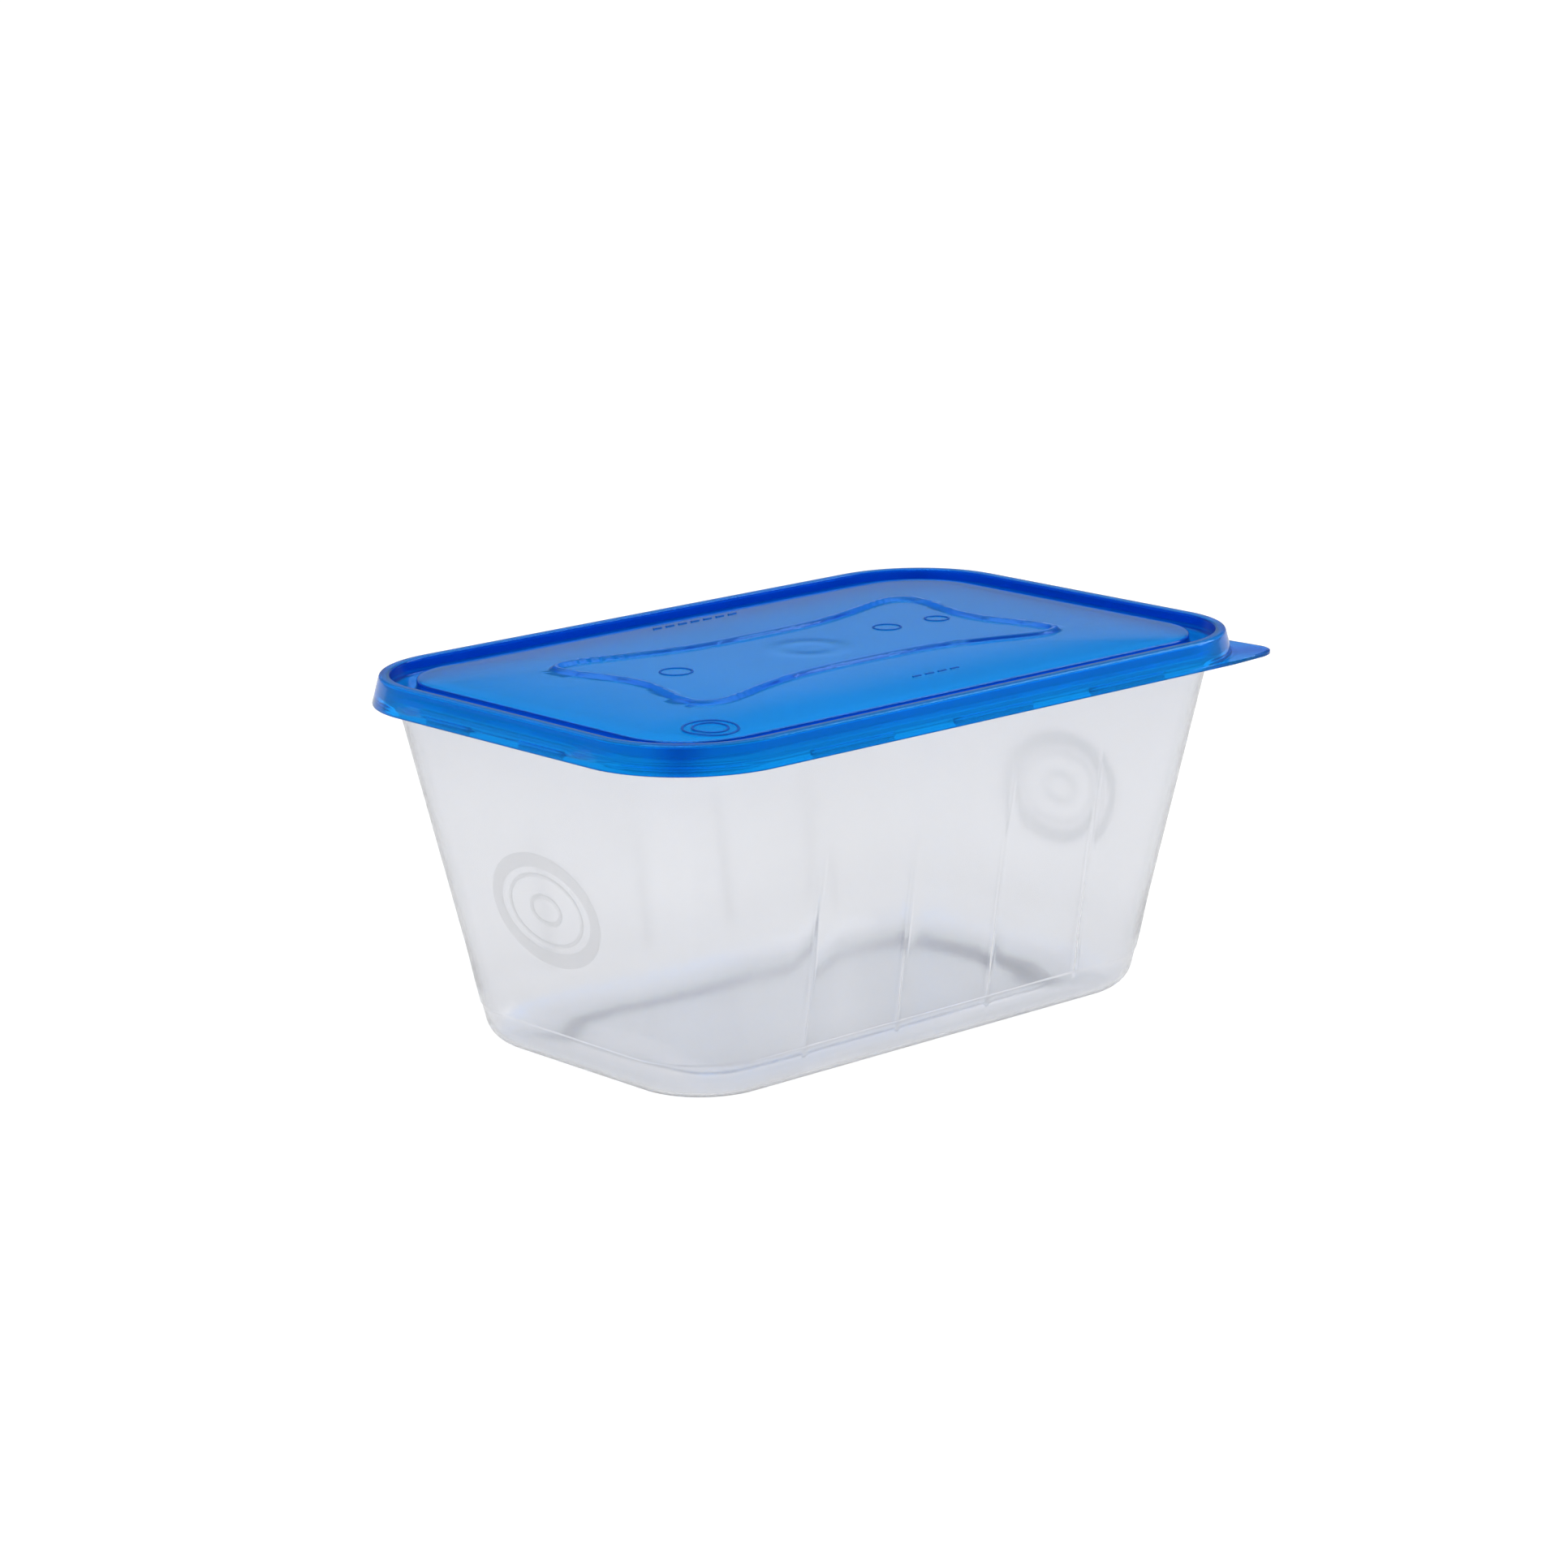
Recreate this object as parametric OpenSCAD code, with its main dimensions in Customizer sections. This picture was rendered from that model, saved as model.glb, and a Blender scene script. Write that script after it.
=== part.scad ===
// Rectangular food container: a thin tapered tub closed by a push-on snap lid.
// The origin is the centre of the tub's base, +Z is up and +X runs along the long side.
// The lid carries a square pull tab in its corner towards +X and -Y.

/* [Lid] */
// Outside length of the lid at the bottom of its skirt
lid_l = 172; // [168:1:180]
// Outside width of the lid at the bottom of its skirt
lid_w = 113.6; // [110:0.2:120]
// Corner radius of the lid at the bottom of its skirt
lid_r = 25.4; // [24.6:0.2:27]
// Wall thickness of the lid
lid_t = 0.6; // [0.5:0.05:0.65]
// How far the skirt leans outwards from its top to its bottom
skirt_flare = 1.58; // [1.4:0.02:1.7]
// Depth of the groove between the lid's rim ring and its raised panel
groove_depth = 3.3; // [2.6:0.1:3.4]
// Inset of the raised panel's edge from the skirt's bottom
panel_inset = 9.4; // [8.6:0.1:11]
// How much the middle of the raised panel stands above the rim ring
panel_crown = 0.2; // [0:0.1:1]

/* [Panel rib] */
// Half length of the hourglass rib at its corners
rib_half_l = 51.5; // [44:0.5:56]
// Half width of the hourglass rib at its corners
rib_half_w = 25.3; // [20:0.1:30]
// Width of the rib
rib_w = 2.4; // [1.6:0.1:3]
// Height of the rib above the panel
rib_h = 0.7; // [0.4:0.1:1.2]

/* [Tub] */
// Height from the table to the top of the lid's rim ring
height = 79.5; // [60:0.5:110]
// Length of the base, measured to the wall's line
base_l = 135.1; // [132:0.1:138]
// Width of the base, measured to the wall's line
base_w = 77.7; // [75:0.1:80]
// Corner radius of the base
base_r = 18.4; // [17:0.1:20]
// Radius of the bottom edge
base_edge_r = 4.7; // [3:0.1:5.5]
// Wall thickness of the tub
tub_t = 0.8; // [0.6:0.05:0.9]
// Height of the raised panel in the middle of the base
kick_up = 1.1; // [0.6:0.1:2]
// How far each vertical stiffening rib stands out from the long walls
wall_rib_h = 0.35; // [0.2:0.05:0.6]

/* [Snap closure] */
// How far the snap beads stand in from the skirt
snap_h = 0.45; // [0.3:0.05:0.5]
// Length of each snap bead on a long side
snap_long = 23; // [16:1:26]
// Length of each snap bead on a short side
snap_short = 15; // [10:1:18]

/* [Pull tab] */
// Thickness of the pull tab
tab_t = 0.8; // [0.6:0.1:1.2]
// Upward tilt of the pull tab in degrees
tab_tilt = 2; // [0:1:8]
// Radius of the tab's free corner
tab_tip_r = 6; // [1:0.5:8]

/* [Hidden] */

// Segments in each quarter-round corner
ARC = 8;
// Height of the lid's skirt, and the level of its bottom edge
skirt_h = 6;
skirt_z = height - skirt_h;
// Inset of the tub's wall from the skirt's outline where the rim ledge starts
wall_inset = 5.1;
// Underside and top of the tub's rim ledge
ledge_z = skirt_z + 0.5;
ledge_top = ledge_z + 0.8;
// Faces of the tub's upright rim band, as insets from the skirt's outline
band_out = 2.5;
band_in = 3;
// Outermost reach of the lip that the snap beads hook under
lip_inset = 1.45;
// Outer face of the lid's plug wall, just inside the rim band
plug_inset = 3.2;
// Level of the step low on the tub's walls, and how far it stands out
step_z = 8.5;
step_out = 0.25;
// Width of a stiffening rib, and the level where the ribs fade out
wall_rib_w = 1.8;
wall_rib_top = 62;
// Half size of the raised panel in the base, and its corner radius
kick_l = 51.8;
kick_w = 24.7;
kick_r = 9;
// Length of the ramp at each end of a snap bead or a rib
RAMP = 0.5;
// Gap along the tab's flexing line
HINGE_GAP = 0.4;
// Heights of the snap bead's start, crest and end above the skirt's bottom
SNAP_RISE = [0.55, 1.1, 1.7];

// Places along a straight side where features of length len begin, run and end: [place, amount]
function stations(centres, len) =
    [for (c = centres) each [
        [c - len / 2, 0], [c - len / 2 + RAMP, 1],
        [c + len / 2 - RAMP, 1], [c + len / 2, 0]]];

SNAP_LONG = stations([-39, 0, 39], snap_long);
SNAP_SHORT = stations([-15, 15], snap_short);
RIB_LONG = stations([-39, -13, 13, 39], wall_rib_w);

// Quarter-round corner q of a rounded rectangle, its inner points drawn in by cb
function corner(hx, hy, r, z, q, cb) =
    let (sx = (q == 0 || q == 3) ? 1 : -1, sy = q < 2 ? 1 : -1)
    [for (i = [0:ARC])
        let (a = 90 * (q + i / ARC), rr = (i == 0 || i == ARC) ? r : r - cb)
        [sx * (hx - r) + rr * cos(a), sy * (hy - r) + rr * sin(a), z]];

// A level rounded rectangle, anticlockwise from above. b draws in the marked stretches of its
// straight sides, cb draws in its corners.
function ring(hx, hy, r, z, long, short, b = 0, cb = 0) = concat(
    corner(hx, hy, r, z, 0, cb), [for (s = long) [-s[0], hy - b * s[1], z]],
    corner(hx, hy, r, z, 1, cb), [for (s = short) [b * s[1] - hx, -s[0], z]],
    corner(hx, hy, r, z, 2, cb), [for (s = long) [s[0], b * s[1] - hy, z]],
    corner(hx, hy, r, z, 3, cb), [for (s = short) [hx - b * s[1], s[0], z]]);

// The same stations, spread k times as far
function spread(marks, k) = [for (s = marks) [k * s[0], s[1]]];

// The lid's outline drawn in by o, at level z
function lid_ring(o, z, b = 0) =
    let (hx = lid_l / 2 - o, hy = lid_w / 2 - o, r = max(lid_r - o, 5))
    ring(hx, hy, r, z,
        spread(SNAP_LONG, (hx - r) / (lid_l / 2 - lid_r)),
        spread(SNAP_SHORT, (hy - r) / (lid_w / 2 - lid_r)), b, b);

// The tub's rim outline: the same outline, with the tub's own marks along its sides
function rim_ring(o, z) = ring(lid_l / 2 - o, lid_w / 2 - o, lid_r - o, z, RIB_LONG, []);

// The tapered wall at level z, moved outwards by d, with its ribs standing out by rib
function wall_ring(z, d = 0, rib = 0) =
    let (k = z / ledge_z,
         hx = (1 - k) * base_l / 2 + k * (lid_l / 2 - wall_inset) + d,
         hy = (1 - k) * base_w / 2 + k * (lid_w / 2 - wall_inset) + d,
         r = (1 - k) * base_r + k * (lid_r - wall_inset) + d)
    ring(hx, hy, r, z, RIB_LONG, [], -rib);

// A level ring in the base
function kick_ring(d, z) = ring(kick_l + d, kick_w + d, kick_r + d, z, RIB_LONG, []);

// The wall's rounded bottom edge of radius r, whose lowest level is z0, drawn in by t
function edge_rings(r, z0, t, angles) =
    [for (a = angles) wall_ring(z0 + r * (1 - cos(a)), -t - r * (1 - sin(a)))];

// Skins a stack of rings that runs from a downward end to an upward end. Each end is closed by a
// fan of triangles round its centre.
module loft(rings) {
    n = len(rings[0]);
    m = len(rings);
    first = n * m;
    last = first + 1;
    centres = [[0, 0, rings[0][0][2]], [0, 0, rings[m - 1][0][2]]];
    bottom = [for (i = [0:n - 1]) [first, i, (i + 1) % n]];
    top = [for (i = [0:n - 1]) [last, (m - 1) * n + (i + 1) % n, (m - 1) * n + i]];
    sides = [for (j = [0:m - 2]) for (i = [0:n - 1])
        let (a = j * n + i, b = j * n + (i + 1) % n)
        each [[a, a + n, b + n], [a, b + n, b]]];
    polyhedron(points = concat([for (r = rings) each r], centres),
        faces = concat(bottom, top, sides));
}

// Hourglass outline of the panel rib, grown by g
module hourglass(g) {
    waist_w = 0.7 * rib_half_w;
    waist_l = 0.91 * rib_half_l;
    // Radius of an arc with half chord c and rise s
    function arc_r(c, s) = (c * c + s * s) / (2 * s);
    r_long = arc_r(rib_half_l, rib_half_w - waist_w);
    r_short = arc_r(rib_half_w, rib_half_l - waist_l);
    offset(r = 4 + g) offset(delta = -4) difference() {
        square([2 * rib_half_l, 2 * rib_half_w], center = true);
        for (s = [-1, 1]) {
            translate([0, s * (waist_w + r_long)]) circle(r_long, $fn = 180);
            translate([s * (waist_l + r_short), 0]) circle(r_short, $fn = 120);
        }
    }
}

module tub() {
    edge = [0, 25, 50, 75, 90];
    outside = concat(
        [kick_ring(-1.2, kick_up), kick_ring(0, 0)],
        edge_rings(base_edge_r, 0, 0, edge),
        [wall_ring(step_z - 0.2),
         wall_ring(step_z + 0.2, step_out, wall_rib_h),
         wall_ring(step_z + 12, 0, wall_rib_h),
         wall_ring(wall_rib_top)]);
    rim = [
        rim_ring(wall_inset, ledge_z), rim_ring(band_out, ledge_z),
        rim_ring(band_out, skirt_z + 1.5), rim_ring(lip_inset, skirt_z + 2),
        rim_ring(lip_inset, skirt_z + 2.5), rim_ring(band_out, skirt_z + 3.5),
        rim_ring(band_out, height - lid_t - 0.25), rim_ring(band_out + 0.15, height - lid_t - 0.1),
        rim_ring(band_in - 0.15, height - lid_t - 0.1), rim_ring(band_in, height - lid_t - 0.25),
        rim_ring(band_in, ledge_top), rim_ring(wall_inset + tub_t, ledge_top)];
    inside = concat(
        [wall_ring(ledge_z - 0.3, -tub_t)],
        [for (a = edge_rings(base_edge_r - tub_t, tub_t, tub_t, [90, 75, 50, 25, 0])) a],
        [kick_ring(0.3, tub_t), kick_ring(-0.9, kick_up + tub_t)]);
    color([0.86, 0.89, 0.93, 0.5]) loft(concat(outside, rim, inside));
}

// Outer face of the skirt as an inset, at a height h above the skirt's bottom
function skirt(h) = skirt_flare * h / skirt_h;

// The lid's moulded section, from the middle of its underside round to the middle of its top
module lid_shell() {
    groove_z = height - groove_depth;
    panel_edge_z = height - 1.1;
    under = [
        lid_ring(45, height + panel_crown - lid_t), lid_ring(25, height - 0.15 - lid_t),
        lid_ring(panel_inset + 1.2, panel_edge_z + 0.1 - lid_t),
        lid_ring(panel_inset + 0.5, panel_edge_z - 0.2 - lid_t),
        lid_ring(panel_inset + 0.4, groove_z - lid_t), lid_ring(plug_inset, groove_z - lid_t),
        lid_ring(plug_inset, height - lid_t), lid_ring(skirt_flare + lid_t, height - lid_t)];
    snap = [
        lid_ring(skirt(SNAP_RISE[2]) + lid_t, skirt_z + SNAP_RISE[2]),
        lid_ring(skirt(SNAP_RISE[1]) + lid_t, skirt_z + SNAP_RISE[1], snap_h),
        lid_ring(skirt(SNAP_RISE[0]) + lid_t, skirt_z + SNAP_RISE[0])];
    outer = [
        lid_ring(lid_t, skirt_z), lid_ring(0, skirt_z), lid_ring(0, skirt_z + 0.4),
        lid_ring(skirt_flare, height - 0.3), lid_ring(skirt_flare + 0.35, height),
        lid_ring(plug_inset + lid_t, height), lid_ring(plug_inset + lid_t + 0.1, groove_z),
        lid_ring(panel_inset - 0.2, groove_z), lid_ring(panel_inset, panel_edge_z - 0.2),
        lid_ring(panel_inset + 0.8, panel_edge_z + 0.1), lid_ring(25, height - 0.15),
        lid_ring(45, height + panel_crown)];
    loft(concat(under, snap, outer));
}

// Distance from the origin to the tab's flexing line, along +X and -Y together
FOLD = (lid_l / 2 - lid_r) + (lid_w / 2 - lid_r) + lid_r * sqrt(2);

// The square flap outside the lid's rounded corner, drawn flat
module flap() {
    translate([lid_l / 2 - lid_r, -lid_w / 2]) difference() {
        hull() {
            square([1, lid_r]);
            translate([0, lid_r - 1]) square([lid_r, 1]);
            translate([lid_r - tab_tip_r, tab_tip_r]) circle(tab_tip_r, $fn = 24);
        }
        translate([0, lid_r]) circle(lid_r - 0.5, $fn = 4 * ARC);
    }
}

// Everything on one side of the line where the tab flexes: 1 is outside, -1 is inside
module beside_fold(side) {
    translate([FOLD / 2, -FOLD / 2]) rotate(-45)
        translate([side * (20 + HINGE_GAP / 2), 0]) square([40, 90], center = true);
}

module lid() {
    color([0.1, 0.5, 0.85]) {
        lid_shell();
        translate([0, 0, height - 0.35]) linear_extrude(0.35 + rib_h) difference() {
            hourglass(0);
            hourglass(-rib_w);
        }
        translate([0, 0, skirt_z + 0.05]) linear_extrude(tab_t - 0.05) intersection() {
            flap();
            beside_fold(-1);
        }
    }
}

module pull_tab() {
    color([0.2, 0.55, 0.9])
        translate([FOLD / 2, -FOLD / 2, skirt_z + tab_t / 2]) rotate(a = tab_tilt, v = [-1, -1, 0])
            translate([-FOLD / 2, FOLD / 2, -tab_t / 2]) linear_extrude(tab_t) intersection() {
                flap();
                beside_fold(1);
            }
}

tub();
lid();
pull_tab();
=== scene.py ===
import bpy
import bmesh
import math
from mathutils import Matrix, Vector
from mathutils.kdtree import KDTree


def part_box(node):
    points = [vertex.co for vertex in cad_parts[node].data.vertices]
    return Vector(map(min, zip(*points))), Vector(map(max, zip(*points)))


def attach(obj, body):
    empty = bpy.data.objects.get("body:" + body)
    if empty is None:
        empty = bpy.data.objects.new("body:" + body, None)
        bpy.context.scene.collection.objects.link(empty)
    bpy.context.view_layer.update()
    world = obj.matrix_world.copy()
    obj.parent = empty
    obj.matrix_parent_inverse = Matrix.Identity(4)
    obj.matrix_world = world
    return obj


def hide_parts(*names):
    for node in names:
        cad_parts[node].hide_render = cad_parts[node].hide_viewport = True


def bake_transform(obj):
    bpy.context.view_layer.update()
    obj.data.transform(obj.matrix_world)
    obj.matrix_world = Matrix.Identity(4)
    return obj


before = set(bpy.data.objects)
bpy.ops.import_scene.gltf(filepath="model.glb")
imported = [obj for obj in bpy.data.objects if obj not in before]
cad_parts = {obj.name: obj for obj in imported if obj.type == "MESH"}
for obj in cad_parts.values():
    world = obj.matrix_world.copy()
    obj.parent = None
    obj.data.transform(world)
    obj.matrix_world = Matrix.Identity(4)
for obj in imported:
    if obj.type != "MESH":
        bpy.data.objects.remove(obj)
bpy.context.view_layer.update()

# Lengths are millimetres until a mesh is made; MM turns them into metres.
MM = 0.001


def in_mm(corner):
    return [v / MM for v in corner]


# ---------------------------------------------------------------- sizes, from the CAD frame
LID_LO, LID_HI = (in_mm(c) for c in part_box("lid"))
HALF_L = LID_HI[0]                  # half length of the lid at the skirt's bottom
HALF_W = LID_HI[1]                  # half width of the lid at the skirt's bottom
SKIRT_Z = LID_LO[2]                 # level of the skirt's bottom edge
PANEL_RIB_H = 0.7
TOP_Z = LID_HI[2] - PANEL_RIB_H     # level of the lid's rim ring
LID_R = 25.4                        # corner radius of the lid's outline
LID_T = 0.6                         # thickness of the lid
FLARE = 1.58                        # how far the skirt leans out from top to bottom
GROOVE_DEPTH = 3.3
PANEL_INSET = 9.4                   # inset of the raised panel, at the gutter
PANEL_CROWN = 1.2                   # rise of the panel from its edge to its middle
RING_INNER = 3.8                    # inset of the rim ring's inner edge

BASE_HALF_L, BASE_HALF_W, BASE_R = 67.55, 38.85, 18.4
BASE_EDGE_R = 4.7
TUB_T = 0.8                         # thickness of the tub
WALL_INSET = 5.1                    # inset of the tub's wall under its ledge
LEDGE_Z = SKIRT_Z + 0.5
LEDGE_TOP = LEDGE_Z + 0.8
STEP_Z = 8.5                        # level of the small step low on the walls
RIB_CENTRES = (-39, -13, 13, 39)    # stiffening ribs on the long walls
RIB_TOP = 66
WALL_RIB_W, WALL_RIB_H = 1.8, 0.36
# The raised panel in the base: half length, half width, corner radius and height
KICK_L, KICK_W, KICK_R, KICK_H = 51.8, 24.7, 9, 1.1

# Snap beads inside the skirt, as (centre, length)
SNAP_LONG = [(c, 23) for c in (-39, 0, 39)]
SNAP_SHORT = [(c, 15) for c in (-15, 15)]

TAB_T = 0.8
TAB_TIP_R = 6
TAB_RISE = math.tan(math.radians(2))   # slope of the tab, up towards its tip
ROOT2 = math.sqrt(2)
# Distance of the tab's flexing line from the origin, along +X and -Y together
FOLD = (HALF_L - LID_R + HALF_W - LID_R) / ROOT2 + LID_R

ARC_STEPS = 20
TAB_ARC_STEPS = 72                  # the tab's corner needs more points for its tight tip


# ---------------------------------------------------------------- outlines
def smooth(x):
    x = min(1.0, max(0.0, x))
    return x * x * (3 - 2 * x)


def along(half, features, ramp=0.6, spacing=4.0):
    """Places along a straight side, closer together where a feature starts and ends."""
    places = set()
    for centre, length in features:
        for end in (-1, 1):
            for k in (0, 0.33, 0.67, 1):
                places.add(round(centre + end * (length / 2 - k * ramp), 3))
    n = int(2 * half / spacing)
    for i in range(1, n):
        s = -half + 2 * half * i / n
        if all(abs(s - p) > 0.35 * spacing for p in places):
            places.add(round(s, 3))
    return sorted(places)


def template(half_long, half_short, long_features, short_features, tab_steps=ARC_STEPS):
    """The points of a ring, as (kind, number, place): arcs by fraction, sides by length."""
    long_side = along(half_long, long_features)
    short_side = along(half_short, short_features)
    sides = [("long", long_side), ("short", short_side), ("long", long_side), ("short", short_side)]
    out = []
    for q, (kind, places) in enumerate(sides):
        steps = tab_steps if q == 3 else ARC_STEPS
        out += [("arc", q, i / steps) for i in range(steps + 1)]
        out += [(kind, q, s) for s in places]
    return out


def place(entry, hx, hy, r, out=0.0):
    """The x, y of a template point on a rounded rectangle, moved outwards by out."""
    kind, q, s = entry
    if kind == "arc":
        a = math.radians(90 * (q + s))
        sx = 1 if q in (0, 3) else -1
        sy = 1 if q < 2 else -1
        return (sx * (hx - r) + (r + out) * math.cos(a), sy * (hy - r) + (r + out) * math.sin(a))
    if kind == "long":
        return (-s, hy + out) if q == 0 else (s, -hy - out)
    return (-hx - out, -s) if q == 1 else (hx + out, s)


def raised(s, features, ramp=0.6):
    """1 on the features of a side, 0 between them."""
    return max([smooth((length / 2 - abs(s - c)) / ramp) for c, length in features] or [0])


def rounded(section, steps=4):
    """Rounds the corners of a section given as (x, z, radius)."""
    out = []
    for i, (x, z, r) in enumerate(section):
        if r == 0 or i in (0, len(section) - 1):
            out.append((x, z))
            continue
        here = Vector((x, z))
        back = Vector(section[i - 1][:2]) - here
        ahead = Vector(section[i + 1][:2]) - here
        reach = min(r, 0.49 * back.length, 0.49 * ahead.length)
        a = here + back.normalized() * reach
        b = here + ahead.normalized() * reach
        for k in range(steps + 1):
            t = k / steps
            p = a * (1 - t) ** 2 + here * 2 * t * (1 - t) + b * t * t
            out.append((p.x, p.y))
    return out


# ---------------------------------------------------------------- mesh helpers
def make_object(name, verts, faces, material, sharp=40):
    mesh = bpy.data.meshes.new(name)
    mesh.from_pydata([tuple(MM * c for c in v) for v in verts], [], faces)
    bm = bmesh.new()
    bm.from_mesh(mesh)
    bmesh.ops.remove_doubles(bm, verts=bm.verts, dist=0.002 * MM)
    bmesh.ops.recalc_face_normals(bm, faces=bm.faces)
    bm.to_mesh(mesh)
    bm.free()
    mesh.shade_smooth()
    mesh.set_sharp_from_angle(angle=math.radians(sharp))
    obj = bpy.data.objects.new(name, mesh)
    bpy.context.scene.collection.objects.link(obj)
    mesh.materials.append(material)
    return obj


def loft(rings):
    """Vertices and faces of a stack of closed rings, each end closed by a fan."""
    n = len(rings[0])
    verts = [p for ring in rings for p in ring]
    faces = []
    for j in range(len(rings) - 1):
        for i in range(n):
            a, b = j * n + i, j * n + (i + 1) % n
            faces.append((a, b, b + n, a + n))
    for ring, start in ((rings[0], 0), (rings[-1], (len(rings) - 1) * n)):
        centre = len(verts)
        verts.append(tuple(sum(p[k] for p in ring) / n for k in range(3)))
        faces += [(centre, start + i, start + (i + 1) % n) for i in range(n)]
    return verts, faces


def inward(ring, sizes, height):
    """Smaller copies of a ring towards its centre, at the height that a function gives."""
    out = []
    for t in sizes:
        out.append([(t * x, t * y, height(t * x, t * y, t)) for x, y, z in ring])
    return out


# ---------------------------------------------------------------- materials
def node_of(tree, kind, **values):
    node = tree.nodes.new(kind)
    for key, value in values.items():
        node.inputs[key.replace("_", " ")].default_value = value
    return node


PAINTED_SHADE_ATTR = "painted_shade"                     # mesh attribute of painted shade: 1 on the flanks of the rib and gutter, less on the skirt's corners


def moulded_plastic(name, tint, roughness, transmission, absorb, density, grain, mottle,
                    gloss_tint=(1.0, 1.0, 1.0), painted_shade_tint=None):
    """Translucent moulded plastic with faint flow marks, fine grain and uneven gloss.

    The last argument is a darker tint of painted shade, laid on the sloping walls and skirt corners that
    a mesh attribute marks."""
    mat = bpy.data.materials.new(name)
    mat.use_nodes = True
    tree = mat.node_tree
    links = tree.links
    shader = tree.nodes["Principled BSDF"]
    shader.inputs["IOR"].default_value = 1.49
    shader.inputs["Transmission Weight"].default_value = transmission
    shader.inputs["Specular Tint"].default_value = list(gloss_tint) + [1]
    coords = tree.nodes.new("ShaderNodeTexCoord")
    flow = node_of(tree, "ShaderNodeTexNoise", Scale=24.0, Detail=3.0, Roughness=0.5)
    fine = node_of(tree, "ShaderNodeTexNoise", Scale=900.0, Detail=2.0, Roughness=0.6)
    scuff = node_of(tree, "ShaderNodeTexNoise", Scale=160.0, Detail=5.0, Roughness=0.7)
    for texture in (flow, fine, scuff):
        links.new(coords.outputs["Object"], texture.inputs["Vector"])
    shade = tree.nodes.new("ShaderNodeValToRGB")
    shade.color_ramp.elements[0].position = 0.3
    shade.color_ramp.elements[0].color = [c * (1 - mottle) for c in tint] + [1]
    shade.color_ramp.elements[1].position = 0.7
    shade.color_ramp.elements[1].color = list(tint) + [1]
    links.new(flow.outputs["Fac"], shade.inputs["Fac"])
    # Painted shade: the colour is mixed towards the darker tint where the mesh attribute marks sloping
    # walls and skirt corners
    if painted_shade_tint:
        painted_shade = node_of(tree, "ShaderNodeAttribute")
        painted_shade.attribute_name = PAINTED_SHADE_ATTR
        painted_shade_mix = tree.nodes.new("ShaderNodeMix")
        painted_shade_mix.data_type = "RGBA"
        painted_shade_mix.inputs["B"].default_value = list(painted_shade_tint) + [1]
        links.new(painted_shade.outputs["Fac"], painted_shade_mix.inputs["Factor"])
        links.new(shade.outputs["Color"], painted_shade_mix.inputs["A"])
        links.new(painted_shade_mix.outputs["Result"], shader.inputs["Base Color"])
    else:
        links.new(shade.outputs["Color"], shader.inputs["Base Color"])
    gloss = tree.nodes.new("ShaderNodeMapRange")
    gloss.inputs["To Min"].default_value = roughness * 0.75
    gloss.inputs["To Max"].default_value = roughness * 1.3
    links.new(scuff.outputs["Fac"], gloss.inputs["Value"])
    links.new(gloss.outputs["Result"], shader.inputs["Roughness"])
    grainy = node_of(tree, "ShaderNodeBump", Strength=grain, Distance=0.00005)
    wavy = node_of(tree, "ShaderNodeBump", Strength=0.25, Distance=0.0004)
    links.new(fine.outputs["Fac"], grainy.inputs["Height"])
    links.new(flow.outputs["Fac"], wavy.inputs["Height"])
    links.new(wavy.outputs["Normal"], grainy.inputs["Normal"])
    links.new(grainy.outputs["Normal"], shader.inputs["Normal"])
    volume = node_of(tree, "ShaderNodeVolumeAbsorption", Color=list(absorb) + [1], Density=density)
    links.new(volume.outputs["Volume"], tree.nodes["Material Output"].inputs["Volume"])
    return mat


CLEAR = moulded_plastic(
    "natural_polypropylene", tint=(0.985, 0.985, 0.99), roughness=0.11, transmission=0.9,
    absorb=(0.0, 0.03, 0.12), density=100, grain=0.15, mottle=0.02)
# The blue lid's darker tint is painted shade on its sloping walls and skirt corners
BLUE = moulded_plastic(
    "blue_polypropylene", tint=(0.01, 0.47, 1.0), roughness=0.1, transmission=0.82,
    absorb=(0.0, 0.78, 0.975), density=2200, grain=0.12, mottle=0.05,
    gloss_tint=(0.04, 0.45, 1.0), painted_shade_tint=(0.0, 0.11, 0.66))
BLUE_MATT = moulded_plastic(
    "blue_polypropylene_matt", tint=(0.003, 0.12, 0.55), roughness=0.4, transmission=0.5,
    absorb=(0.02, 0.76, 0.965), density=2200, grain=0.5, mottle=0.1,
    gloss_tint=(0.08, 0.45, 1.0))


# ---------------------------------------------------------------- tub
TUB_TEMPLATE = template(BASE_HALF_L - BASE_R, BASE_HALF_W - BASE_R,
                        [(c, WALL_RIB_W) for c in RIB_CENTRES], [])


def wall_size(z):
    k = min(1.0, z / LEDGE_Z)
    top_l, top_w, top_r = HALF_L - WALL_INSET, HALF_W - WALL_INSET, LID_R - WALL_INSET
    return (BASE_HALF_L + k * (top_l - BASE_HALF_L), BASE_HALF_W + k * (top_w - BASE_HALF_W),
            BASE_R + k * (top_r - BASE_R))


def wall_ribs(entry, z):
    """How far the long walls' ribs stand out at a level."""
    kind, q, s = entry
    if kind != "long":
        return 0.0
    fade = smooth((z - STEP_Z + 0.5) / 1.0) * smooth((RIB_TOP - z) / (RIB_TOP - 12))
    return WALL_RIB_H * fade * raised(s, [(c, WALL_RIB_W) for c in RIB_CENTRES], ramp=0.8)


def tub_ring(d, z, outer):
    hx, hy, r = wall_size(z)
    out = []
    for entry in TUB_TEMPLATE:
        x, y = place(entry, hx + d, hy + d, r + d, wall_ribs(entry, z) if outer else 0.0)
        out.append((x, y, z))
    return out


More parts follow.
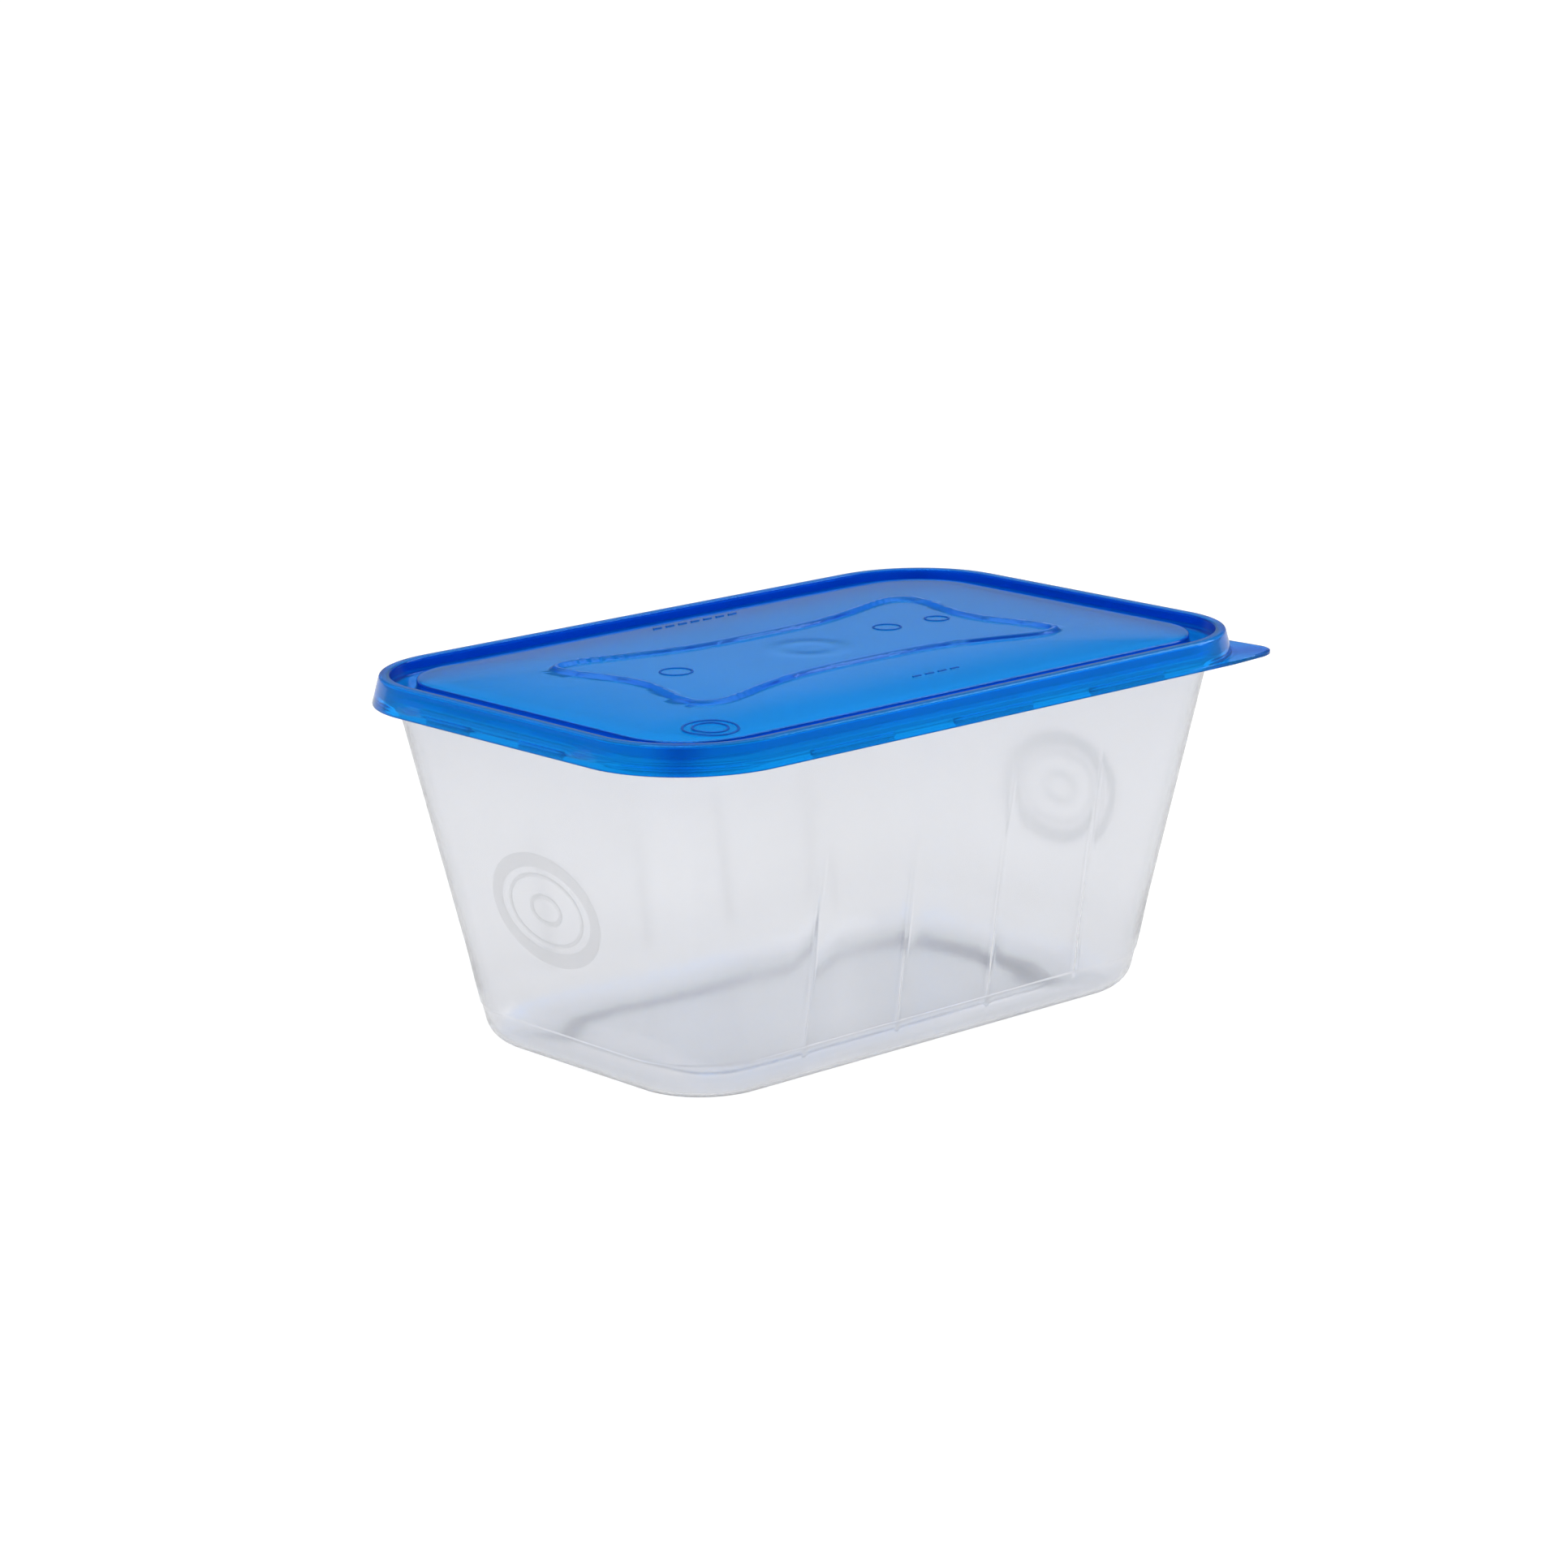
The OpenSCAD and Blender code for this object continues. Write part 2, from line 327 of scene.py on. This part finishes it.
def kick_ring(d, z):
    """The edge of the raised panel in the base."""
    k = (KICK_L - KICK_R) / (BASE_HALF_L - BASE_R)
    k_short = (KICK_W - KICK_R) / (BASE_HALF_W - BASE_R)
    out = []
    for kind, q, s in TUB_TEMPLATE:
        scale = {"arc": 1, "long": k, "short": k_short}[kind]
        out.append(place((kind, q, s * scale), KICK_L + d, KICK_W + d, KICK_R + d) + (z,))
    return out


def rim_d(inset):
    """Offset from the wall line that gives an inset from the skirt's outline."""
    return WALL_INSET - inset


def make_tub():
    """One closed shell: under the base, up the outside, over the rim and down the inside."""
    panel_scales = (0.85, 0.6, 0.3)
    outer = [(-BASE_EDGE_R - 2, 0, 0), (-BASE_EDGE_R, 0, 0)]
    for a in range(10, 91, 10):
        rad = math.radians(a)
        outer.append((-BASE_EDGE_R * (1 - math.sin(rad)), BASE_EDGE_R * (1 - math.cos(rad)), 0))
    outer += [(0, STEP_Z - 0.3, 0), (0.03, STEP_Z - 0.15, 0), (0.2, STEP_Z + 0.15, 0),
              (0.24, STEP_Z + 0.4, 0), (0.2, 13, 0)]
    outer += [(0, z, 0) for z in range(20, 71, 5)]
    top = TOP_Z - LID_T - 0.1
    rim = [(0, LEDGE_Z, 0.5), (rim_d(2.5), LEDGE_Z, 0.25), (rim_d(2.5), SKIRT_Z + 1.5, 0.2),
           (rim_d(1.45), SKIRT_Z + 2, 0.2), (rim_d(1.45), SKIRT_Z + 2.5, 0.2),
           (rim_d(2.5), SKIRT_Z + 3.5, 0.3), (rim_d(2.5), top, 0.2), (rim_d(3), top, 0.2),
           (rim_d(3), LEDGE_TOP, 0.3), (-TUB_T, LEDGE_TOP, 0.5), (-TUB_T, LEDGE_Z - 2, 0)]
    inner = [(-TUB_T, z, 0) for z in range(70, 9, -6)]
    r_in = BASE_EDGE_R - TUB_T
    for a in range(90, -1, -10):
        rad = math.radians(a)
        inner.append((-TUB_T - r_in * (1 - math.sin(rad)), TUB_T + r_in * (1 - math.cos(rad)), 0))
    underside = inward(kick_ring(-0.8, KICK_H), panel_scales, lambda x, y, t: KICK_H)[::-1]
    floor = inward(kick_ring(-0.8, KICK_H + TUB_T), panel_scales, lambda x, y, t: KICK_H + TUB_T)
    rings = underside + [kick_ring(-0.8, KICK_H), kick_ring(-0.4, KICK_H * 0.8), kick_ring(0, 0.2),
                         kick_ring(0.3, 0)]
    rings += [tub_ring(d, z, True) for d, z in rounded(outer)]
    rings += [tub_ring(d, z, False) for d, z in rounded(rim)]
    rings += [tub_ring(d, z, False) for d, z in rounded(inner)]
    rings += [kick_ring(0.5, TUB_T), kick_ring(0.2, TUB_T + 0.2), kick_ring(-0.4, KICK_H + TUB_T - 0.1),
              kick_ring(-0.8, KICK_H + TUB_T)] + floor
    return make_object("tub_shell", *loft(rings), CLEAR)


# ---------------------------------------------------------------- lid
LID_TEMPLATE = template(HALF_L - LID_R, HALF_W - LID_R, SNAP_LONG, SNAP_SHORT, TAB_ARC_STEPS)


def lid_ring(o, z, beads=0.0, step=0.0):
    """A ring at inset o; beads narrows it at the snap beads, step widens its short sides."""
    out = []
    for entry in LID_TEMPLATE:
        kind, q, s = entry
        if kind == "arc":
            grow = -beads * smooth(4 * min(s, 1 - s))
        else:
            grow = -beads * raised(s, SNAP_LONG if kind == "long" else SNAP_SHORT)
        if kind == "short":
            grow += step
        x, y = place(entry, HALF_L - o, HALF_W - o, LID_R - o, grow)
        out.append((x, y, z))
    return out


def flap_reach(a, r):
    """Distance from the corner's centre to the flap's square outline, in direction a."""
    c, s = abs(math.cos(a)), abs(math.sin(a))
    reach = r / max(c, s)
    k = r - TAB_TIP_R
    if reach * min(c, s) > k:
        b = k * (c + s)
        reach = b + math.sqrt(b * b - 2 * k * k + TAB_TIP_R ** 2)
    return reach


def flap_ring(o, z, spread):
    """A lid ring whose tab corner is drawn out towards the flap's outline."""
    out = []
    for entry, (x, y, z0) in zip(LID_TEMPLATE, lid_ring(o, z)):
        kind, q, s = entry
        if kind == "arc" and q == 3:
            a = math.radians(270 + 90 * s)
            reach = flap_reach(a, LID_R)
            d = (1 - spread) * (LID_R - o) + spread * reach
            x = HALF_L - LID_R + d * math.cos(a)
            y = -(HALF_W - LID_R) + d * math.sin(a)
            z0 = z + TAB_RISE * max(0.0, (x - y) / ROOT2 - FOLD)
        out.append((x, y, z0))
    return out


def skirt(h):
    return FLARE * h / (TOP_Z - SKIRT_Z)


RIB_W = 2.4                         # width of the panel's hourglass rib
RIB_FLANK = 0.6                     # width of each sloping side of that rib
# One quarter of the hourglass, from the middle of a long side to the middle of a short side
RIB_QUARTER = ((0, 17.3), (11, 17.5), (21, 18.5), (32, 21.2), (40, 23.8), (45.6, 25.0), (49.6, 24.0),
               (51.2, 20.4), (50.0, 14.0), (47.8, 6.5), (47.0, 0))


def hourglass():
    """The rib's closed middle line, a smooth curve through the quarter's points mirrored."""
    knots = [(x, -y) for x, y in RIB_QUARTER] + [(x, y) for x, y in RIB_QUARTER[-2::-1]]
    knots += [(-x, -y) for x, y in knots[1:-1]]
    count = len(knots)
    line = []
    for i in range(count):
        p, q, r, t = (Vector(knots[(i + k) % count]) for k in (-1, 0, 1, 2))
        for k in range(8):
            u = k / 8
            line.append(q + 0.5 * u * ((r - p) + u * ((2 * p - 5 * q + 4 * r - t)
                                                      + u * (3 * (q - r) + t - p))))
    return line


def distance_to(line):
    """A function giving the distance of a point from a closed line."""
    dense = []
    for p, q in zip(line, line[1:] + line[:1]):
        p, q = Vector(p), Vector(q)
        n = max(1, int((q - p).length / 0.15))
        dense += [p.lerp(q, i / n) for i in range(n)]
    tree = KDTree(len(dense))
    for i, p in enumerate(dense):
        tree.insert((p.x, p.y, 0), i)
    tree.balance()
    return lambda x, y: tree.find((x, y, 0))[2]


PANEL_EDGE_Z = TOP_Z - 1.0
RIB_DISTANCE = distance_to(hourglass())


def panel_plain(x, y, t):
    """The domed panel without its rib."""
    return PANEL_EDGE_Z + PANEL_CROWN * (1 - t ** 4)


def panel_top(x, y, t):
    """The panel with its rib, and the gate mark in the middle: a shallow dish and a pip."""
    z = panel_plain(x, y, t)
    if abs(x) < 54 and abs(y) < 28:
        z += PANEL_RIB_H * smooth((RIB_W / 2 - RIB_DISTANCE(x, y)) / RIB_FLANK)
    centre = math.hypot(x, y)
    z -= 0.07 * math.exp(-((centre - 6.5) / 2.4) ** 2)
    z += 0.3 * smooth((1.3 - centre) / 0.5)
    return z


def panel_sizes():
    """Scales of the panel's rings, from its edge inwards, close together across the rib."""
    sizes = [0.985, 0.96, 0.92, 0.88, 0.84, 0.8, 0.76, 0.72]
    t = 0.69
    while t > 0.30:
        sizes.append(t)
        t -= 0.0052
    while t > 0.02:
        sizes.append(t)
        t -= 0.012
    return sizes


# Painted shade on the skirt's corners, darkest at each corner's middle: how much, and over how many
# degrees to either side
CORNER_SHADE, CORNER_SHADE_SPREAD = 0.55, 11


def make_lid():
    """One closed shell: under the panel, down inside the skirt, round the tab and up over the top."""
    groove = TOP_Z - GROOVE_DEPTH
    edge = PANEL_INSET + 0.9
    under = [(edge + 0.2, PANEL_EDGE_Z - LID_T, 0), (PANEL_INSET + 0.45, PANEL_EDGE_Z - LID_T - 0.1, 0.5),
             (PANEL_INSET + 0.4, groove - LID_T, 0.5), (3.2, groove - LID_T, 0.5),
             (3.2, TOP_Z - LID_T, 0.3), (skirt(5.4) + LID_T, TOP_Z - LID_T, 0.4),
             (skirt(1.9) + LID_T, SKIRT_Z + 1.9, 0)]
    outer = [(skirt(TAB_T), SKIRT_Z + TAB_T), (skirt(1.4), SKIRT_Z + 1.4)]
    crown = [(skirt(5.0), SKIRT_Z + 5.0, 0), (FLARE, TOP_Z, 0.55), (RING_INNER, TOP_Z, 0.4),
             (RING_INNER + 0.1, groove, 0.5), (PANEL_INSET - 0.2, groove, 0.5),
             (PANEL_INSET, PANEL_EDGE_Z - 0.1, 0.5), (edge, PANEL_EDGE_Z, 0)]
    sparse = [0.94, 0.84, 0.7, 0.55, 0.4, 0.25, 0.12]
    rim_under = lid_ring(edge + 0.2, PANEL_EDGE_Z - LID_T)
    rings = inward(rim_under, sparse, lambda x, y, t: panel_plain(x, y, t) - LID_T)[::-1]
    rings += [lid_ring(o, z) for o, z in rounded(under)]
    rings += [lid_ring(skirt(h) + LID_T, SKIRT_Z + h, b)
              for h, b in ((1.7, 0), (1.45, 0.3), (1.2, 0.45), (1.0, 0.45), (0.75, 0.3), (0.5, 0))]
    rings += [lid_ring(LID_T, SKIRT_Z + 0.1), lid_ring(LID_T - 0.1, SKIRT_Z), lid_ring(0.1, SKIRT_Z)]
    spreads = (0.0, 0.15, 0.3, 0.5, 0.7, 0.85, 0.97)
    rings += [flap_ring(0, SKIRT_Z, s) for s in spreads]
    rings += [flap_ring(0, SKIRT_Z + 0.12, 1), flap_ring(skirt(TAB_T - 0.12), SKIRT_Z + TAB_T - 0.12, 1)]
    rings += [flap_ring(skirt(TAB_T), SKIRT_Z + TAB_T, s) for s in spreads[::-1][:-1]]
    rings += [flap_ring(skirt(TAB_T) + 0.02, SKIRT_Z + TAB_T + 0.05, 0.06)]
    rings += [lid_ring(o, z) for o, z in outer]
    rings += [lid_ring(skirt(1.5), SKIRT_Z + 1.5, 0, 0.12), lid_ring(skirt(4.4), SKIRT_Z + 4.4, 0, 0.12),
              lid_ring(skirt(4.6), SKIRT_Z + 4.6)]
    rings += [lid_ring(o, z) for o, z in rounded(crown)]
    rings += inward(lid_ring(edge, PANEL_EDGE_Z), panel_sizes(), panel_top)
    shell = make_object("lid_shell", *loft(rings), BLUE)
    # Painted shade: the sloping flanks of the rib and gutter are marked for the darker tint
    painted_shade = shell.data.attributes.new(PAINTED_SHADE_ATTR, "FLOAT", "POINT")
    for vertex, value in zip(shell.data.vertices, painted_shade.data):
        x = max(abs(vertex.co.x) / MM - (HALF_L - LID_R), 0)
        y = max(abs(vertex.co.y) / MM - (HALF_W - LID_R), 0)
        inside = smooth((LID_R - math.hypot(x, y) - 3.0) / 0.5)
        flank_shade = smooth(2.4 * (1 - abs(vertex.normal.z)) - 0.1)
        # Painted shade, darkest at the middle of each skirt corner
        corner = math.exp(-((math.degrees(math.atan2(y, x)) - 45) / CORNER_SHADE_SPREAD) ** 2)
        value.value = inside * flank_shade + CORNER_SHADE * (1 - inside) * corner
    return shell


# ---------------------------------------------------------------- raised marks
def bar_loop(line, width, height, to_surface, closed=True):
    """A low half-round bar along a line; to_surface turns (u, v, lift) into x, y, z."""
    n = len(line)
    cuts = [(-0.5, -0.15), (-0.42, 0.6), (0, 1), (0.42, 0.6), (0.5, -0.15)]
    verts = []
    for i, p in enumerate(line):
        before = Vector(line[(i - 1) % n] if closed or i else p)
        after = Vector(line[(i + 1) % n] if closed or i < n - 1 else p)
        way = (after - before).normalized()
        side = Vector((-way.y, way.x))
        for across, lift in cuts:
            u, v = Vector(p) + side * across * width
            verts.append(to_surface(u, v, lift * height))
    m = len(cuts)
    faces = []
    for i in range(n if closed else n - 1):
        j = (i + 1) % n
        faces += [(i * m + k, j * m + k, j * m + (k + 1) % m, i * m + (k + 1) % m) for k in range(m)]
    if not closed:
        faces += [tuple(range(m)), tuple(range((n - 1) * m, n * m))]
    return verts, faces


def joined(parts):
    verts, faces = [], []
    for part_verts, part_faces in parts:
        base = len(verts)
        verts += part_verts
        faces += [tuple(i + base for i in f) for f in part_faces]
    return verts, faces


def ellipse(cx, cy, rx, ry, n=64):
    return [(cx + rx * math.cos(2 * math.pi * i / n), cy + ry * math.sin(2 * math.pi * i / n))
            for i in range(n)]


def on_panel(x, y, lift):
    t = max(abs(x) / (HALF_L - PANEL_INSET), abs(y) / (HALF_W - PANEL_INSET))
    return (x, y, panel_plain(x, y, t) + lift)


def make_panel_marks():
    """Plain rings and bars where a real lid has its small moulded marks."""
    parts = []
    rings = ((-62, -39.5, 5.6), (-62, -39.5, 3.6), (-35, 2.5, 3.4), (26, 3.6, 3.0), (40, 2.7, 2.6))
    for cx, cy, r in rings:
        parts.append(bar_loop(ellipse(cx, cy, r, r), 0.5, 0.22, on_panel))
    for cx, cy, count in ((3.3, 41.0, 7), (3.4, -35.4, 4)):
        for k in range(count):
            x = cx + 3.6 * (k - (count - 1) / 2)
            line = [(x - 1.1, cy), (x, cy), (x + 1.1, cy)]
            parts.append(bar_loop(line, 0.6, 0.2, on_panel, closed=False))
    return make_object("panel_marks", *joined(parts), BLUE_MATT)


MEDALLION_H = 0.03                  # how far the medallions stand out


def make_wall_medallions():
    """Plain concentric ovals, raised on the two end walls."""
    parts = []
    slope = (wall_size(60)[0] - wall_size(20)[0]) / 40
    for end in (-1, 1):
        def on_wall(u, v, lift, end=end):
            return (end * (wall_size(v)[0] + lift), u, v - slope * lift)
        for rx, ry, width in ((15.6, 10.8, 3.2), (11.4, 7.6, 0.9), (4.6, 3.0, 1.2)):
            parts.append(bar_loop(ellipse(-1, 36.5, rx, ry, 96), width, MEDALLION_H, on_wall))
    return make_object("wall_medallions", *joined(parts), CLEAR)


# ---------------------------------------------------------------- stage, light and camera
def make_stage():
    floor_mat = bpy.data.materials.new("studio_floor")
    floor_mat.use_nodes = True
    shader = floor_mat.node_tree.nodes["Principled BSDF"]
    shader.inputs["Base Color"].default_value = (0.12, 0.12, 0.12, 1)
    shader.inputs["Emission Color"].default_value = (1, 1, 1, 1)
    # The plastic mirrors a dimmer studio floor than the one seen directly or through it
    tree = floor_mat.node_tree
    path = tree.nodes.new("ShaderNodeLightPath")
    dim = tree.nodes.new("ShaderNodeMapRange")
    dim.inputs["To Min"].default_value = 1.0
    dim.inputs["To Max"].default_value = 0.65
    mirrored = tree.nodes.new("ShaderNodeMath")
    mirrored.operation = "SUBTRACT"
    mirrored.use_clamp = True
    tree.links.new(path.outputs["Is Glossy Ray"], mirrored.inputs[0])
    tree.links.new(path.outputs["Is Transmission Ray"], mirrored.inputs[1])
    tree.links.new(mirrored.outputs["Value"], dim.inputs["Value"])
    tree.links.new(dim.outputs["Result"], shader.inputs["Emission Strength"])
    shader.inputs["Roughness"].default_value = 0.9
    shader.inputs["Specular IOR Level"].default_value = 0.1
    mesh = bpy.data.meshes.new("studio_floor")
    size = 14
    drop = -0.0002
    mesh.from_pydata([(-size, -size, drop), (size, -size, drop), (size, size, drop), (-size, size, drop)],
                     [], [(0, 1, 2, 3)])
    floor = bpy.data.objects.new("studio_floor", mesh)
    mesh.materials.append(floor_mat)
    bpy.context.scene.collection.objects.link(floor)


def area_light(name, place_at, aim, size, power):
    data = bpy.data.lights.new(name, "AREA")
    data.shape = "RECTANGLE"
    data.size, data.size_y = size
    data.energy = power
    obj = bpy.data.objects.new(name, data)
    obj.location = place_at
    obj.rotation_euler = (Vector(aim) - Vector(place_at)).to_track_quat("-Z", "Y").to_euler()
    bpy.context.scene.collection.objects.link(obj)


def make_light():
    world = bpy.data.worlds.new("studio")
    bpy.context.scene.world = world
    world.use_nodes = True
    tree = world.node_tree
    coords = tree.nodes.new("ShaderNodeTexCoord")
    split = tree.nodes.new("ShaderNodeSeparateXYZ")
    ramp = tree.nodes.new("ShaderNodeValToRGB")
    tree.links.new(coords.outputs["Generated"], split.inputs["Vector"])
    tree.links.new(split.outputs["Z"], ramp.inputs["Fac"])
    # Seen through the plastic, the backdrop is as pale as the floor
    path = tree.nodes.new("ShaderNodeLightPath")
    mix = tree.nodes.new("ShaderNodeMix")
    mix.data_type = "RGBA"
    mix.inputs["B"].default_value = (0.85, 0.85, 0.87, 1)
    tree.links.new(path.outputs["Is Transmission Ray"], mix.inputs["Factor"])
    tree.links.new(ramp.outputs["Color"], mix.inputs["A"])
    tree.links.new(mix.outputs["Result"], tree.nodes["Background"].inputs["Color"])
    # A backdrop near the horizon, dark walls above it, and a bright ceiling
    low, high = ramp.color_ramp.elements
    low.position, low.color = 0.22, (0.26, 0.25, 0.27, 1)
    high.position, high.color = 0.8, (1, 1, 1, 1)
    ramp.color_ramp.elements.new(0.30).color = (0.04, 0.04, 0.05, 1)
    ramp.color_ramp.elements.new(0.50).color = (0.12, 0.12, 0.13, 1)
    tree.nodes["Background"].inputs["Strength"].default_value = 1.0
    area_light("key_softbox", (-0.5, -0.2, 1.1), (0, 0, 0.04), (0.9, 0.9), 14)
    area_light("side_softbox", (1.0, -0.5, 0.7), (0, 0, 0.04), (0.6, 0.9), 8)


def make_camera():
    """The camera at the fitted angle; az, el and roll in degrees, its place in metres."""
    az, el, roll = (math.radians(v) for v in (41.5886, 13.81, -0.9352))
    ahead = Vector((math.sin(az) * math.cos(el), math.cos(az) * math.cos(el), -math.sin(el)))
    right = Vector((math.cos(az), -math.sin(az), 0))
    up = right.cross(ahead)
    turned_right = right * math.cos(roll) + up * math.sin(roll)
    turned_up = -right * math.sin(roll) + up * math.cos(roll)
    data = bpy.data.cameras.new("camera")
    data.sensor_width = 36
    data.lens = 106.0
    data.clip_end = 50
    obj = bpy.data.objects.new("camera", data)
    turn = Matrix((turned_right, turned_up, -ahead)).transposed().to_4x4()
    obj.matrix_world = Matrix.Translation((-0.64089, -0.71341, 0.28574)) @ turn
    bpy.context.scene.collection.objects.link(obj)
    bpy.context.scene.camera = obj


# ---------------------------------------------------------------- assembly
tub_shell = make_tub()
medallions = make_wall_medallions()
lid_shell = make_lid()
marks = make_panel_marks()

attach(tub_shell, "tub")
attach(medallions, "tub")
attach(marks, "lid")
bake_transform(lid_shell)
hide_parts("tub")
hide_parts("lid", "pull_tab")

make_stage()
make_light()
make_camera()
bpy.context.scene.view_settings.view_transform = "Standard"
